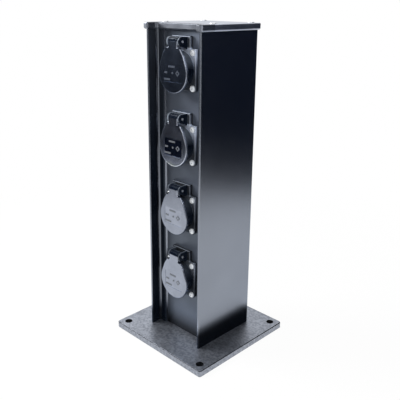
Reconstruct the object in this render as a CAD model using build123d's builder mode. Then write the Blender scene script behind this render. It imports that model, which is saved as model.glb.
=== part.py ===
from build123d import *
import os

os.makedirs("parts", exist_ok=True)

# Frame: origin under the centre of the base plate, +Z up, the four sockets face -Y.
# All lengths are in millimetres.

# Base plate, the bottom face rests on the ground
plate_w = 164.0
plate_t = 8.0
plate_corner_r = 4.0
plate_bevel = 0.8
anchor_inset = 11.5
anchor_r = 5.0

# Column extrusion, an open-fronted box with two return lips
col_w = 93.0
col_d = 98.0
col_h = 400.0
col_wall = 3.0
col_corner_r = 1.5
wall_end_r = 0.8
recess_depth = 15.0
recess_fillet_r = 3.5
lip_t = 3.0
lip_opening = 69.0
lip_bevel = 3.2
rib_t = 2.0
rib_reach = 6.0
port_r = 4.2
port_bore_r = 1.9
port_inset = 3.4

# Socket panel, slid down behind the lips
panel_t = 2.0
panel_clear = 0.2

# Top cap, its outline follows the column at a steady overhang
cap_t = 8.0
cap_overhang = 3.0
cap_corner_r = 3.5
cap_notch_r = 4.0
cap_horn_r = 2.0
cap_bevel = 1.5
cap_edge_r = 1.5

# Self-tapping screws that run into the ports of the extrusion
port_screw_grip = 14.0
screw_clear = 0.05
hole_clear = 0.2
pan_head_r = 4.0
pan_head_h = 1.2
pan_dome_r = 0.8
csk_head_r = 3.9
csk_sink = 0.4
drive_r = 1.2
drive_depth = 1.0

# Rubber grommet where the supply cable enters
grommet_bore_r = 7.0
grommet_sleeve_r = 12.0
grommet_flange_r = 15.0
grommet_flange_t = 2.0
grommet_foot_t = 1.5
grommet_clear = 0.1
grommet_lift = 0.4

# Sockets, number 1 is the top one
socket_count = 4
lowest_socket_rise = 84.5
top_socket_drop = 45.5

# Gasket, flange and hinge tower of each socket
gasket_t = 1.5
gasket_inset = 0.4
flange_w = 50.0
flange_t = 3.0
flange_corner_r = 4.0
flange_shoulder_r = 2.0
flange_edge_r = 1.4
tower_w = 32.0
tower_rise = 14.5
tower_corner_r = 2.5
tower_flare_r = 4.0
flange_screw_pitch = 41.0
flange_screw_r = 2.0
flange_head_r = 3.7
flange_head_h = 2.4
flange_dome_r = 1.6
nut_r = 4.0
nut_t = 3.2
nut_standout = 1.0
cross_w = 1.0
cross_l = 4.0

# Collar, well and rear sleeve of each socket
well_r = 19.75
well_depth = 17.2
collar_r = 22.3
collar_rise = 9.9
collar_edge_r = 0.6
sleeve_wall = 1.3
sleeve_length = 12.0
insert_clear = 0.1
insert_step = 0.45
cutout_clear = 0.3
guide_w = 4.4
guide_h = 2.0
guide_setback = 4.0

# Contact carrier and contacts of each socket
insert_t = 23.3
pin_hole_r = 2.6
pin_half_pitch = 9.5
front_skin = 2.0
contact_r = 3.2
contact_wall = 0.7
contact_clear = 0.1
terminal_w = 7.6
terminal_h = 14.0
terminal_d = 7.0
terminal_hole_half_pitch = 4.0
clip_w = 6.0
clip_t = 1.0
clip_r = 17.4
clip_reach = 12.5
clip_clear = 0.2

# Lid of each socket
lid_r = 24.0
lid_t = 2.8
lid_drop = 2.9
lid_gap = 0.3
lid_edge_r = 1.2
neck_w = 23.2
neck_rise = 29.5
shoulder_w = 35.0
shoulder_rise = 21.0
tongue_w = 16.0
tongue_foot = 16.0
seal_t = 1.6
seal_groove = 0.6
seal_w = 2.1
seal_clear = 0.1
emblem_w = 31.0
emblem_h = 21.5
emblem_depth = 0.3
emblem_bar_h = 2.2
emblem_long_w = 10.8
emblem_short_w = 5.2
emblem_top_x = 1.4
emblem_top_z = 7.2
emblem_side_x = 11.4
emblem_low_x = 9.4
emblem_low_z = 7.8
emblem_dot_r = 1.3
emblem_diamond_x = 8.6
emblem_diamond_w = 5.0

# Hinge of each lid
axis_rise = 33.0
knuckle_r = 5.5
knuckle_edge_r = 1.4
ear_gap = 0.4
ear_t = 3.0
ear_edge_r = 0.7
ear_foot = 24.0
pin_r = 1.5
pin_clear = 0.05
pin_press = 0.02
pin_standout = 0.5
chamber_r = 4.1
chamber_length = 9.4
spring_wire_r = 0.45
spring_r = 3.7
spring_length = 8.0
spring_setback = 0.4
spring_leg = 2.2
spring_clear = 0.1

# Wiring inside the column
wire_r = 1.5
wire_clear = 0.1
wire_insert = 5.0
wire_bend_r = 10.0
wire_standoff = 13.0

# Terminal block on its bracket
pole_count = 3
block_margin = 1.5
block_d = 18.0
block_h = 24.0
block_lift = 16.0
block_screw_r = 1.5
block_screw_head_r = 2.6
block_screw_head_h = 1.8
block_screw_grip = 5.0
clamp_screw_r = 1.9
clamp_screw_t = 3.0
clamp_screw_sink = 1.2
clamp_screw_rise = 6.0
bracket_t = 2.0
bracket_w = 36.0
bracket_foot = 8.0
bracket_screw_x = 9.0

# Earth stud beside the cable entry
stud_x = 30.0
stud_forward = 6.0
stud_r = 2.5
stud_h = 14.0
stud_root = 6.0
stud_bevel = 0.5
earth_nut_r = 4.6
earth_nut_t = 4.0
lug_r = 5.0
lug_t = 1.2
lug_clear = 0.15
lug_tail = 9.0
bond_rise = 6.0
bond_bend_r = 4.0

# One overrun serves every cut
overrun = 1.0

# Places worked out from the sizes above
plate_top = plate_t
col_top = plate_top + col_h
anchor_pitch = plate_w - 2 * anchor_inset
socket_pitch = (col_h - lowest_socket_rise - top_socket_drop) / (socket_count - 1)
front_y = -col_d / 2
inner_w = col_w - 2 * col_wall
lip_y = front_y + recess_depth
panel_y = lip_y + lip_t
rib_y = panel_y + panel_t + panel_clear
chamber_y = rib_y + rib_t
rear_y = col_d / 2 - col_wall
port_x = inner_w / 2 - port_inset
ports = [(x, y) for x in (-port_x, port_x) for y in (chamber_y + port_inset, rear_y - port_inset)]

# Distances in front of the panel, negative ones lie behind its front face
flange_front = gasket_t + flange_t
collar_front = flange_front + collar_rise
seal_back = collar_front + lid_gap
lid_back = seal_back + seal_t - seal_groove
lid_front = lid_back + lid_t
axis_forward = lid_front - knuckle_r
well_floor = collar_front - well_depth
insert_back = well_floor - insert_t
strap_back = insert_back - clip_t
terminal_back = strap_back - terminal_d

pocket_r = well_r + insert_step
sleeve_r = pocket_r + sleeve_wall
insert_r = pocket_r - insert_clear
ear_in = tongue_w / 2 + ear_gap
ear_out = ear_in + ear_t
half_screws = flange_screw_pitch / 2
screw_places = [(x, z) for x in (-half_screws, half_screws) for z in (-half_screws, half_screws)]
pole_places = (-pin_half_pitch, 0, pin_half_pitch)

wire_y = panel_y - terminal_back + wire_standoff
wire_end_y = panel_y - terminal_back - wire_insert
block_w = pole_count * pin_half_pitch + 2 * block_margin
block_z = plate_top + block_lift
block_top = block_z + block_h
block_front_y = wire_y - block_d / 2
bracket_y = wire_y + block_d / 2
bracket_screw_y = bracket_y - bracket_foot / 2
stud_y = wire_y - stud_forward


def socket_z(number):
    """Height of a socket's centre."""
    return plate_top + lowest_socket_rise + (socket_count - number) * socket_pitch


def face_plane(z, forward=0):
    """Plane parallel to the panel: local x right, local y up, normal out of the panel."""
    return Plane(origin=(0, panel_y - forward, z), x_dir=(1, 0, 0), z_dir=(0, -1, 0))


def side_plane(z, x=0):
    """Plane across the panel: local x out of the panel, local y up, normal along -X."""
    return Plane(origin=(x, panel_y, z), x_dir=(0, -1, 0), z_dir=(-1, 0, 0))


def save(builder, name):
    """Label one finished piece and write it."""
    builder.part.label = name
    export_step(builder.part, f"parts/{name}.step")


def make_screws(places, shank_r, grip, head_r, head_h, dome_r):
    """Round-head screws whose seat is each place's plane, with the head on its positive side."""
    with BuildPart() as screws:
        with Locations(*places):
            Cylinder(head_r, head_h, align=(Align.CENTER, Align.CENTER, Align.MIN))
        crowns = screws.edges().filter_by(GeomType.CIRCLE)
        crowns = [edge for edge in crowns if any(is_crown(edge, place, head_h) for place in places)]
        fillet(crowns, dome_r)
        with Locations(*places):
            Cylinder(shank_r, grip, align=(Align.CENTER, Align.CENTER, Align.MAX))
        for spin in (0, 90):
            with Locations(*[place * Location((0, 0, head_h), (0, 0, spin)) for place in places]):
                Box(cross_l, cross_w, 2 * drive_depth, mode=Mode.SUBTRACT)
    return screws


def is_crown(edge, place, head_h):
    """True for the circle at the top of the head that stands at this place."""
    crown = (place * Location((0, 0, head_h))).position
    return (edge.arc_center - crown).length < screw_clear


# Base plate

with BuildPart() as base_plate:
    with BuildSketch():
        RectangleRounded(plate_w, plate_w, plate_corner_r)
    extrude(amount=plate_t)
    chamfer(base_plate.faces().sort_by(Axis.Z)[-1].edges(), plate_bevel)
    with BuildSketch():
        with GridLocations(anchor_pitch, anchor_pitch, 2, 2):
            Circle(anchor_r)
        Circle(grommet_sleeve_r + grommet_clear)
    extrude(amount=plate_t, mode=Mode.SUBTRACT)
    with BuildSketch():
        Circle(grommet_flange_r + grommet_clear)
    extrude(amount=grommet_foot_t + grommet_lift, mode=Mode.SUBTRACT)
    with Locations([Location((x, y, 0), (180, 0, 0)) for x, y in ports]):
        CounterSinkHole(port_bore_r + hole_clear, csk_head_r + csk_sink, depth=plate_t)
    with BuildSketch(Plane.XY.offset(plate_top)):
        with Locations((stud_x, stud_y)):
            Circle(stud_r + screw_clear)
        with Locations((-bracket_screw_x, bracket_screw_y), (bracket_screw_x, bracket_screw_y)):
            Circle(block_screw_r + screw_clear)
    extrude(amount=-stud_root, mode=Mode.SUBTRACT)
save(base_plate, "base_plate")

with BuildPart() as base_screws:
    with Locations([Location((x, y, csk_sink), (180, 0, 0)) for x, y in ports]):
        Cone(
            port_bore_r - screw_clear,
            csk_head_r,
            csk_head_r - port_bore_r + screw_clear,
            align=(Align.CENTER, Align.CENTER, Align.MAX),
        )
        Cylinder(
            port_bore_r - screw_clear,
            plate_t - csk_sink + port_screw_grip,
            align=(Align.CENTER, Align.CENTER, Align.MAX),
        )
        Cylinder(drive_r, 2 * drive_depth, mode=Mode.SUBTRACT)
save(base_screws, "base_screws")

with BuildPart() as cable_grommet:
    with BuildSketch(Plane.XY.offset(plate_top)):
        Circle(grommet_flange_r)
    extrude(amount=grommet_flange_t)
    fillet(cable_grommet.faces().sort_by(Axis.Z)[-1].edges(), grommet_flange_t / 2)
    with BuildSketch(Plane.XY.offset(grommet_lift)):
        Circle(grommet_sleeve_r)
    extrude(amount=plate_top - grommet_lift)
    with BuildSketch(Plane.XY.offset(grommet_lift)):
        Circle(grommet_flange_r)
    extrude(amount=grommet_foot_t)
    with BuildSketch(Plane.XY.offset(grommet_lift)):
        Circle(grommet_bore_r)
    extrude(amount=plate_t + grommet_flange_t, mode=Mode.SUBTRACT)
save(cable_grommet, "cable_grommet")

# Column, panel and cap

with BuildPart() as column_shell:
    with BuildSketch(Plane.XY.offset(plate_top)) as column_profile:
        Rectangle(col_w, col_d)
        fillet(column_profile.vertices(), col_corner_r)
        # The rounded rectangle reaches out of the front, so only its rear corners cut
        with Locations((0, front_y)):
            RectangleRounded(inner_w, 2 * recess_depth, recess_fillet_r, mode=Mode.SUBTRACT)
        with BuildLine():
            Polyline(
                (-lip_opening / 2, lip_y),
                (lip_opening / 2, lip_y),
                (lip_opening / 2 - lip_bevel, panel_y),
                (-lip_opening / 2 + lip_bevel, panel_y),
                close=True,
            )
        make_face(mode=Mode.SUBTRACT)
        with Locations((0, (panel_y + rib_y) / 2)):
            Rectangle(inner_w, rib_y - panel_y, mode=Mode.SUBTRACT)
        with Locations((0, (rib_y + chamber_y) / 2)):
            Rectangle(inner_w - 2 * rib_reach, rib_t, mode=Mode.SUBTRACT)
        with Locations((0, (chamber_y + rear_y) / 2)):
            Rectangle(inner_w, rear_y - chamber_y, mode=Mode.SUBTRACT)
        wall_ends = column_profile.vertices().group_by(Axis.Y)[0].sort_by(Axis.X)[1:3]
        fillet(wall_ends, wall_end_r)
        with Locations(*ports):
            Circle(port_r)
        with Locations(*ports):
            Circle(port_bore_r, mode=Mode.SUBTRACT)
    extrude(amount=col_h)
save(column_shell, "column_shell")

with BuildPart() as socket_panel:
    with BuildSketch(Plane.XY.offset(plate_top)):
        with Locations((0, panel_y + panel_t / 2)):
            Rectangle(inner_w - 2 * panel_clear, panel_t)
    extrude(amount=col_h)
    for number in range(1, socket_count + 1):
        with BuildSketch(face_plane(socket_z(number))):
            Circle(sleeve_r + cutout_clear)
            with Locations(*screw_places):
                Circle(flange_screw_r + hole_clear)
        extrude(amount=panel_t + overrun, both=True, mode=Mode.SUBTRACT)
save(socket_panel, "socket_panel")

with BuildPart() as top_cap:
    with BuildSketch(Plane.XY.offset(col_top)) as cap_outline:
        RectangleRounded(col_w + 2 * cap_overhang, col_d + 2 * cap_overhang, cap_corner_r)
        with Locations((0, front_y - cap_overhang)):
            RectangleRounded(
                inner_w - 2 * cap_overhang,
                2 * recess_depth,
                cap_notch_r,
                mode=Mode.SUBTRACT,
            )
        horn_tips = cap_outline.vertices().group_by(Axis.Y)[0].sort_by(Axis.X)[1:3]
        fillet(horn_tips, cap_horn_r)
    extrude(amount=cap_t)
    chamfer(top_cap.faces().sort_by(Axis.Z)[0].edges(), cap_bevel)
    fillet(top_cap.faces().sort_by(Axis.Z)[-1].edges(), cap_edge_r)
    with BuildSketch(Plane.XY.offset(col_top)):
        with Locations(*ports):
            Circle(port_bore_r + hole_clear)
    extrude(amount=cap_t, mode=Mode.SUBTRACT)
save(top_cap, "top_cap")

cap_screws = make_screws(
    [Location((x, y, col_top + cap_t)) for x, y in ports],
    port_bore_r - screw_clear,
    cap_t + port_screw_grip,
    pan_head_r,
    pan_head_h,
    pan_dome_r,
)
save(cap_screws, "cap_screws")


# Socket pieces


def draw_flange(inset=0):
    """Square flange with the hinge tower standing on it, drawn in the current sketch."""
    with BuildSketch(mode=Mode.PRIVATE) as outline:
        Rectangle(flange_w, flange_w)
        with Locations((0, flange_w / 2)):
            Rectangle(tower_w, 2 * tower_rise)
        tiers = outline.vertices().group_by(Axis.Y)
        fillet(tiers[0], flange_corner_r)
        shoulders = tiers[1].sort_by(Axis.X)
        fillet([shoulders[0], shoulders[-1]], flange_shoulder_r)
        fillet(shoulders[1:3], tower_flare_r)
        fillet(tiers[-1], tower_corner_r)
        if inset:
            offset(amount=-inset)
    add(outline.sketch)


def make_gasket(z):
    with BuildPart() as gasket:
        with BuildSketch(face_plane(z)):
            draw_flange(gasket_inset)
            Circle(sleeve_r + cutout_clear, mode=Mode.SUBTRACT)
            with Locations(*screw_places):
                Circle(flange_screw_r + hole_clear, mode=Mode.SUBTRACT)
        extrude(amount=gasket_t)
    return gasket


def make_body(z):
    with BuildPart() as body:
        with BuildSketch(face_plane(z, gasket_t)):
            draw_flange()
        extrude(amount=flange_t)
        fillet(body.faces().sort_by(Axis.Y)[0].edges(), flange_edge_r)
        with BuildSketch(face_plane(z, -sleeve_length)):
            Circle(sleeve_r)
        extrude(amount=sleeve_length + gasket_t)
        with BuildSketch(face_plane(z, gasket_t)):
            Circle(collar_r)
        extrude(amount=collar_front - gasket_t)
        fillet(body.faces().sort_by(Axis.Y)[0].edges(), collar_edge_r)
        with BuildSketch(face_plane(z, well_floor)):
            Circle(well_r)
        extrude(amount=well_depth, mode=Mode.SUBTRACT)
        with BuildSketch(face_plane(z, -sleeve_length)):
            Circle(pocket_r)
        extrude(amount=sleeve_length + well_floor, mode=Mode.SUBTRACT)
        # Guide noses left and right in the well
        with BuildSketch(face_plane(z, well_floor)):
            Circle(well_r + insert_step / 2)
            Circle(well_r - guide_h, mode=Mode.SUBTRACT)
            Rectangle(2 * sleeve_r, guide_w, mode=Mode.INTERSECT)
        extrude(amount=well_depth - guide_setback)
        with BuildSketch(face_plane(z, gasket_t)):
            with Locations(*screw_places):
                Circle(flange_screw_r + hole_clear)
        extrude(amount=flange_t, mode=Mode.SUBTRACT)
        # Hinge ears, fused to the front of the tower
        for side in (-1, 1):
            with BuildPart(mode=Mode.PRIVATE) as ear:
                with BuildSketch(side_plane(z, side * (ear_in + ear_t / 2))):
                    with BuildLine():
                        Polyline(
                            (gasket_t, axis_rise + knuckle_r),
                            (axis_forward, axis_rise + knuckle_r),
                            (axis_forward, axis_rise - knuckle_r),
                            (flange_front, ear_foot),
                            (gasket_t, ear_foot),
                            close=True,
                        )
                    make_face()
                    with Locations((axis_forward, axis_rise)):
                        Circle(knuckle_r)
                extrude(amount=ear_t / 2, both=True)
                flanks = ear.faces().filter_by(Axis.X).edges()
                free_edges = [edge for edge in flanks if edge.center().Y < panel_y - flange_front]
                fillet(free_edges, ear_edge_r)
            add(ear.part)
        with BuildSketch(side_plane(z)):
            with Locations((axis_forward, axis_rise)):
                Circle(pin_r + pin_press)
        extrude(amount=ear_out, both=True, mode=Mode.SUBTRACT)
        # Hole for the leg of the lid spring in the right-hand ear
        with BuildSketch(side_plane(z, ear_in - ear_gap)):
            with Locations((axis_forward, axis_rise + spring_r - spring_wire_r)):
                Circle(spring_wire_r + spring_clear)
        extrude(amount=-(ear_gap + spring_leg + spring_clear), mode=Mode.SUBTRACT)
    return body


def make_insert(z):
    with BuildPart() as insert:
        with BuildSketch(face_plane(z, insert_back)):
            Circle(insert_r)
        extrude(amount=insert_t)
        with BuildSketch(face_plane(z, insert_back)):
            with Locations((-pin_half_pitch, 0), (pin_half_pitch, 0)):
                Circle(pin_hole_r)
            with Locations((0, clip_r + clip_t / 2), (0, -clip_r - clip_t / 2)):
                Rectangle(clip_w + 2 * clip_clear, clip_t + 2 * clip_clear)
        extrude(amount=insert_t, mode=Mode.SUBTRACT)
        with BuildSketch(face_plane(z, insert_back)):
            with Locations((-pin_half_pitch, 0), (pin_half_pitch, 0)):
                Circle(contact_r + contact_clear)
        extrude(amount=insert_t - front_skin, mode=Mode.SUBTRACT)
    return insert


def terminal_holes(z, places):
    """Two wire holes, one above the other, in the back of each terminal."""
    with BuildSketch(face_plane(z, terminal_back), mode=Mode.PRIVATE) as holes:
        for x in places:
            with Locations((x, terminal_hole_half_pitch), (x, -terminal_hole_half_pitch)):
                Circle(wire_r + wire_clear)
    return holes.sketch


def make_contacts(z):
    with BuildPart() as contacts:
        with BuildSketch(face_plane(z, terminal_back)):
            with Locations((-pin_half_pitch, 0), (pin_half_pitch, 0)):
                Rectangle(terminal_w, terminal_h)
        extrude(amount=terminal_d + clip_t)
        with BuildSketch(face_plane(z, insert_back)):
            with Locations((-pin_half_pitch, 0), (pin_half_pitch, 0)):
                Circle(contact_r)
                Circle(contact_r - contact_wall, mode=Mode.SUBTRACT)
        extrude(amount=insert_t - front_skin - contact_clear)
        wire_holes = terminal_holes(z, (-pin_half_pitch, pin_half_pitch))
        extrude(wire_holes, amount=wire_insert + wire_clear, mode=Mode.SUBTRACT)
    return contacts


def make_earth_clip(z):
    with BuildPart() as clip:
        with BuildSketch(side_plane(z)):
            with Locations(((strap_back + insert_back) / 2, 0)):
                Rectangle(clip_t, 2 * (clip_r + clip_t))
            prong_l = well_floor + clip_reach - insert_back
            for rise in (clip_r + clip_t / 2, -clip_r - clip_t / 2):
                with Locations((insert_back + prong_l / 2, rise)):
                    Rectangle(prong_l, clip_t)
        extrude(amount=clip_w / 2, both=True)
        with BuildSketch(face_plane(z, terminal_back)):
            Rectangle(terminal_w, terminal_h)
        extrude(amount=terminal_d)
        extrude(terminal_holes(z, (0,)), amount=wire_insert + wire_clear, mode=Mode.SUBTRACT)
    return clip


def make_lid(z):
    centre = z - lid_drop
    # The outline runs from the neck over the shoulders and on to the disc along two tangent lines
    shoulder = (shoulder_w / 2, shoulder_rise)
    right_side = [(neck_w / 2, neck_rise), shoulder, touch_place(shoulder)]
    left_side = [(-x, rise) for x, rise in reversed(right_side)]
    with BuildPart() as lid:
        # Tongue and knuckle, drawn from the side
        with BuildSketch(side_plane(z)):
            with Locations((axis_forward, axis_rise)):
                Circle(knuckle_r)
            with BuildLine():
                Polyline(
                    (lid_back, tongue_foot),
                    (lid_front, tongue_foot),
                    (lid_front, axis_rise),
                    (axis_forward, axis_rise),
                    (axis_forward, axis_rise - knuckle_r),
                    (lid_back, collar_r),
                    close=True,
                )
            make_face()
        extrude(amount=tongue_w / 2, both=True)
        flanks = lid.faces().filter_by(Axis.X).edges()
        fillet([edge for edge in flanks if is_outer(edge)], knuckle_edge_r)
        with BuildPart(mode=Mode.PRIVATE) as disc:
            with BuildSketch(face_plane(centre, lid_back)):
                Circle(lid_r)
                with BuildLine():
                    Polyline(*right_side, (0, 0), *left_side, close=True)
                make_face()
            extrude(amount=lid_t)
            fillet(disc.faces().sort_by(Axis.Y)[0].edges(), lid_edge_r)
        add(disc.part)
        # Bore for the pin and chamber for the spring
        with BuildSketch(side_plane(z)):
            with Locations((axis_forward, axis_rise)):
                Circle(pin_r + pin_clear)
        extrude(amount=tongue_w / 2, both=True, mode=Mode.SUBTRACT)
        with BuildSketch(side_plane(z, tongue_w / 2)):
            with Locations((axis_forward, axis_rise)):
                Circle(chamber_r)
        extrude(amount=chamber_length, mode=Mode.SUBTRACT)
        # Groove for the seal
        with BuildSketch(face_plane(z, lid_back)):
            Circle(collar_r - collar_edge_r + seal_clear)
            Circle(collar_r - collar_edge_r - seal_w - seal_clear, mode=Mode.SUBTRACT)
        extrude(amount=seal_groove, mode=Mode.SUBTRACT)
        # Plain relief on the front: a sunk field where bars, a dot and a diamond stand
        with BuildSketch(face_plane(centre, lid_front)):
            Rectangle(emblem_w, emblem_h)
            Circle(emblem_dot_r, mode=Mode.SUBTRACT)
            with Locations((-emblem_top_x, emblem_top_z), (-emblem_low_x, -emblem_low_z)):
                Rectangle(emblem_long_w, emblem_bar_h, mode=Mode.SUBTRACT)
            with Locations((-emblem_side_x, 0)):
                Rectangle(emblem_short_w, emblem_bar_h, mode=Mode.SUBTRACT)
            with Locations((emblem_diamond_x, 0)):
                Rectangle(emblem_diamond_w, emblem_diamond_w, rotation=45, mode=Mode.SUBTRACT)
        extrude(amount=-emblem_depth, mode=Mode.SUBTRACT)
    return lid


def is_outer(edge):
    """True for the flank edges along the tongue's front and round its barrel."""
    is_barrel = edge.geom_type == GeomType.CIRCLE
    is_front = edge.center().Y < panel_y - lid_front + seal_clear
    return is_barrel or is_front


def touch_place(shoulder):
    """Where the line from the right-hand shoulder touches the disc."""
    reach = (shoulder[0] ** 2 + shoulder[1] ** 2) ** 0.5
    along = lid_r**2 / reach**2
    across = lid_r * (reach**2 - lid_r**2) ** 0.5 / reach**2
    x = shoulder[0] * along + shoulder[1] * across
    rise = shoulder[1] * along - shoulder[0] * across
    return (x, rise)


def make_seal(z):
    with BuildPart() as seal:
        with BuildSketch(face_plane(z, seal_back)):
            Circle(collar_r - collar_edge_r)
            Circle(collar_r - collar_edge_r - seal_w, mode=Mode.SUBTRACT)
        extrude(amount=seal_t)
    return seal


def make_pin(z):
    with BuildPart() as pin:
        with BuildSketch(side_plane(z)):
            with Locations((axis_forward, axis_rise)):
                Circle(pin_r)
        extrude(amount=ear_out + pin_standout, both=True)
    return pin


def make_spring(z):
    """Torsion spring round the pin as a plain sleeve, its leg in the right-hand ear holds it."""
    with BuildPart() as spring:
        with BuildSketch(side_plane(z, tongue_w / 2 - spring_setback)):
            with Locations((axis_forward, axis_rise)):
                Circle(spring_r)
                Circle(spring_r - 2 * spring_wire_r, mode=Mode.SUBTRACT)
        extrude(amount=spring_length)
        with BuildSketch(side_plane(z, tongue_w / 2 - spring_setback - spring_wire_r)):
            with Locations((axis_forward, axis_rise + spring_r - spring_wire_r)):
                Circle(spring_wire_r)
        extrude(amount=-(spring_wire_r + spring_setback + ear_gap + spring_leg))
    return spring


makers = {
    "flange_gasket": make_gasket,
    "socket_body": make_body,
    "socket_insert": make_insert,
    "contacts": make_contacts,
    "earth_clip": make_earth_clip,
    "lid": make_lid,
    "lid_seal": make_seal,
    "hinge_pin": make_pin,
    "lid_spring": make_spring,
}
for number in range(1, socket_count + 1):
    for name, make in makers.items():
        save(make(socket_z(number)), f"{name}_{number}")

# Fasteners of the four flanges

flange_seats = [
    face_plane(socket_z(number), flange_front).location * Location((x, z, 0))
    for number in range(1, socket_count + 1)
    for x, z in screw_places
]
flange_screws = make_screws(
    flange_seats,
    flange_screw_r,
    flange_front + panel_t + nut_t + nut_standout,
    flange_head_r,
    flange_head_h,
    flange_dome_r,
)
save(flange_screws, "flange_screws")

with BuildPart() as flange_nuts:
    for number in range(1, socket_count + 1):
        with BuildSketch(face_plane(socket_z(number), -panel_t)):
            with Locations(*screw_places):
                RegularPolygon(nut_r, 6)
                Circle(flange_screw_r + screw_clear, mode=Mode.SUBTRACT)
        extrude(amount=-nut_t)
save(flange_nuts, "flange_nuts")

# Terminal block and its bracket

with BuildPart() as terminal_bracket:
    with BuildSketch(Plane.YZ):
        with Locations((bracket_y + bracket_t / 2, (plate_top + block_top) / 2)):
            Rectangle(bracket_t, block_top - plate_top)
        with Locations((bracket_y + (bracket_t - bracket_foot) / 2, plate_top + bracket_t / 2)):
            Rectangle(bracket_t + bracket_foot, bracket_t)
    extrude(amount=bracket_w / 2, both=True)
    with BuildSketch(Plane.XY.offset(plate_top)):
        with Locations((-bracket_screw_x, bracket_screw_y), (bracket_screw_x, bracket_screw_y)):
            Circle(block_screw_r + hole_clear)
    extrude(amount=bracket_t, mode=Mode.SUBTRACT)
    with BuildSketch(Plane.XZ.offset(-bracket_y)):
        with Locations(
            (-pin_half_pitch / 2, block_z + block_h / 2),
            (pin_half_pitch / 2, block_z + block_h / 2),
        ):
            Circle(block_screw_r + screw_clear)
    extrude(amount=-bracket_t, mode=Mode.SUBTRACT)
save(terminal_bracket, "terminal_bracket")

bracket_screws = make_screws(
    [
        Location((-bracket_screw_x, bracket_screw_y, plate_top + bracket_t)),
        Location((bracket_screw_x, bracket_screw_y, plate_top + bracket_t)),
    ],
    block_screw_r,
    bracket_t + block_screw_grip,
    block_screw_head_r,
    block_screw_head_h,
    block_screw_head_h / 2,
)
save(bracket_screws, "bracket_screws")

with BuildPart() as terminal_block:
    with Locations((0, wire_y, block_z)):
        Box(block_w, block_d, block_h, align=(Align.CENTER, Align.CENTER, Align.MIN))
    chamfer(terminal_block.faces().sort_by(Axis.Y)[0].edges(), block_margin)
    with BuildSketch(Plane.XY.offset(block_z)):
        with Locations(*[(x, wire_y) for x in pole_places]):
            Circle(wire_r + wire_clear)
    extrude(amount=block_h, mode=Mode.SUBTRACT)
    with BuildSketch(Plane.XZ.offset(-block_front_y)):
        for rise in (clamp_screw_rise, block_h - clamp_screw_rise):
            with Locations(*[(x, block_z + rise) for x in pole_places]):
                Circle(clamp_screw_r + screw_clear)
    extrude(amount=-(clamp_screw_sink + clamp_screw_t), mode=Mode.SUBTRACT)
    with BuildSketch(Plane.XZ.offset(-block_front_y)):
        with Locations(
            (-pin_half_pitch / 2, block_z + block_h / 2),
            (pin_half_pitch / 2, block_z + block_h / 2),
        ):
            Circle(block_screw_r + hole_clear)
    extrude(amount=-block_d, mode=Mode.SUBTRACT)
save(terminal_block, "terminal_block")

block_screws = make_screws(
    [
        Plane.XZ.offset(-block_front_y).location * Location((x, block_z + block_h / 2, 0))
        for x in (-pin_half_pitch / 2, pin_half_pitch / 2)
    ],
    block_screw_r,
    block_d + bracket_t,
    block_screw_head_r,
    block_screw_head_h,
    block_screw_head_h / 2,
)
save(block_screws, "block_screws")

with BuildPart() as terminal_screws:
    with BuildSketch(Plane.XZ.offset(-block_front_y - clamp_screw_sink)):
        for rise in (clamp_screw_rise, block_h - clamp_screw_rise):
            with Locations(*[(x, block_z + rise) for x in pole_places]):
                Circle(clamp_screw_r)
    extrude(amount=-clamp_screw_t)
    with BuildSketch(Plane.XZ.offset(-block_front_y - clamp_screw_sink)):
        for rise in (clamp_screw_rise, block_h - clamp_screw_rise):
            with Locations(*[(x, block_z + rise) for x in pole_places]):
                Rectangle(2 * clamp_screw_r, cross_w)
    extrude(amount=-drive_depth, mode=Mode.SUBTRACT)
save(terminal_screws, "terminal_screws")

# Earth stud, its nut and the bonding lead from the block

with BuildPart() as earth_stud:
    with BuildSketch(Plane.XY.offset(plate_top - stud_root)):
        with Locations((stud_x, stud_y)):
            Circle(stud_r)
    extrude(amount=stud_root + stud_h)
    chamfer(earth_stud.faces().sort_by(Axis.Z)[-1].edges(), stud_bevel)
save(earth_stud, "earth_stud")

with BuildPart() as earth_nut:
    with BuildSketch(Plane.XY.offset(plate_top + lug_t)):
        with Locations((stud_x, stud_y)):
            RegularPolygon(earth_nut_r, 6)
            Circle(stud_r + screw_clear, mode=Mode.SUBTRACT)
    extrude(amount=earth_nut_t)
save(earth_nut, "earth_nut")

with BuildPart() as bonding_lead:
    with BuildSketch(Plane.XY.offset(plate_top)):
        with Locations((stud_x, stud_y)):
            Circle(lug_r)
        with Locations((stud_x - lug_tail / 2, stud_y)):
            Rectangle(lug_tail, 2 * wire_r)
        with Locations((stud_x, stud_y)):
            Circle(stud_r + lug_clear, mode=Mode.SUBTRACT)
    extrude(amount=lug_t)
    lead_z = plate_top + wire_r
    with BuildLine():
        FilletPolyline(
            (stud_x - lug_r - wire_r, stud_y, lead_z),
            (stud_x - lug_tail - bond_rise, stud_y, lead_z),
            (0, wire_y, block_z - bond_rise),
            (0, wire_y, block_z + wire_insert),
            radius=bond_bend_r,
        )
    with BuildSketch(Plane(origin=(stud_x - lug_r - wire_r, stud_y, lead_z), z_dir=(-1, 0, 0))):
        Circle(wire_r)
    sweep()
save(bonding_lead, "bonding_lead")


# Wires: a feed from the block to the lowest socket, then a link from each socket to the next


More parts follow.
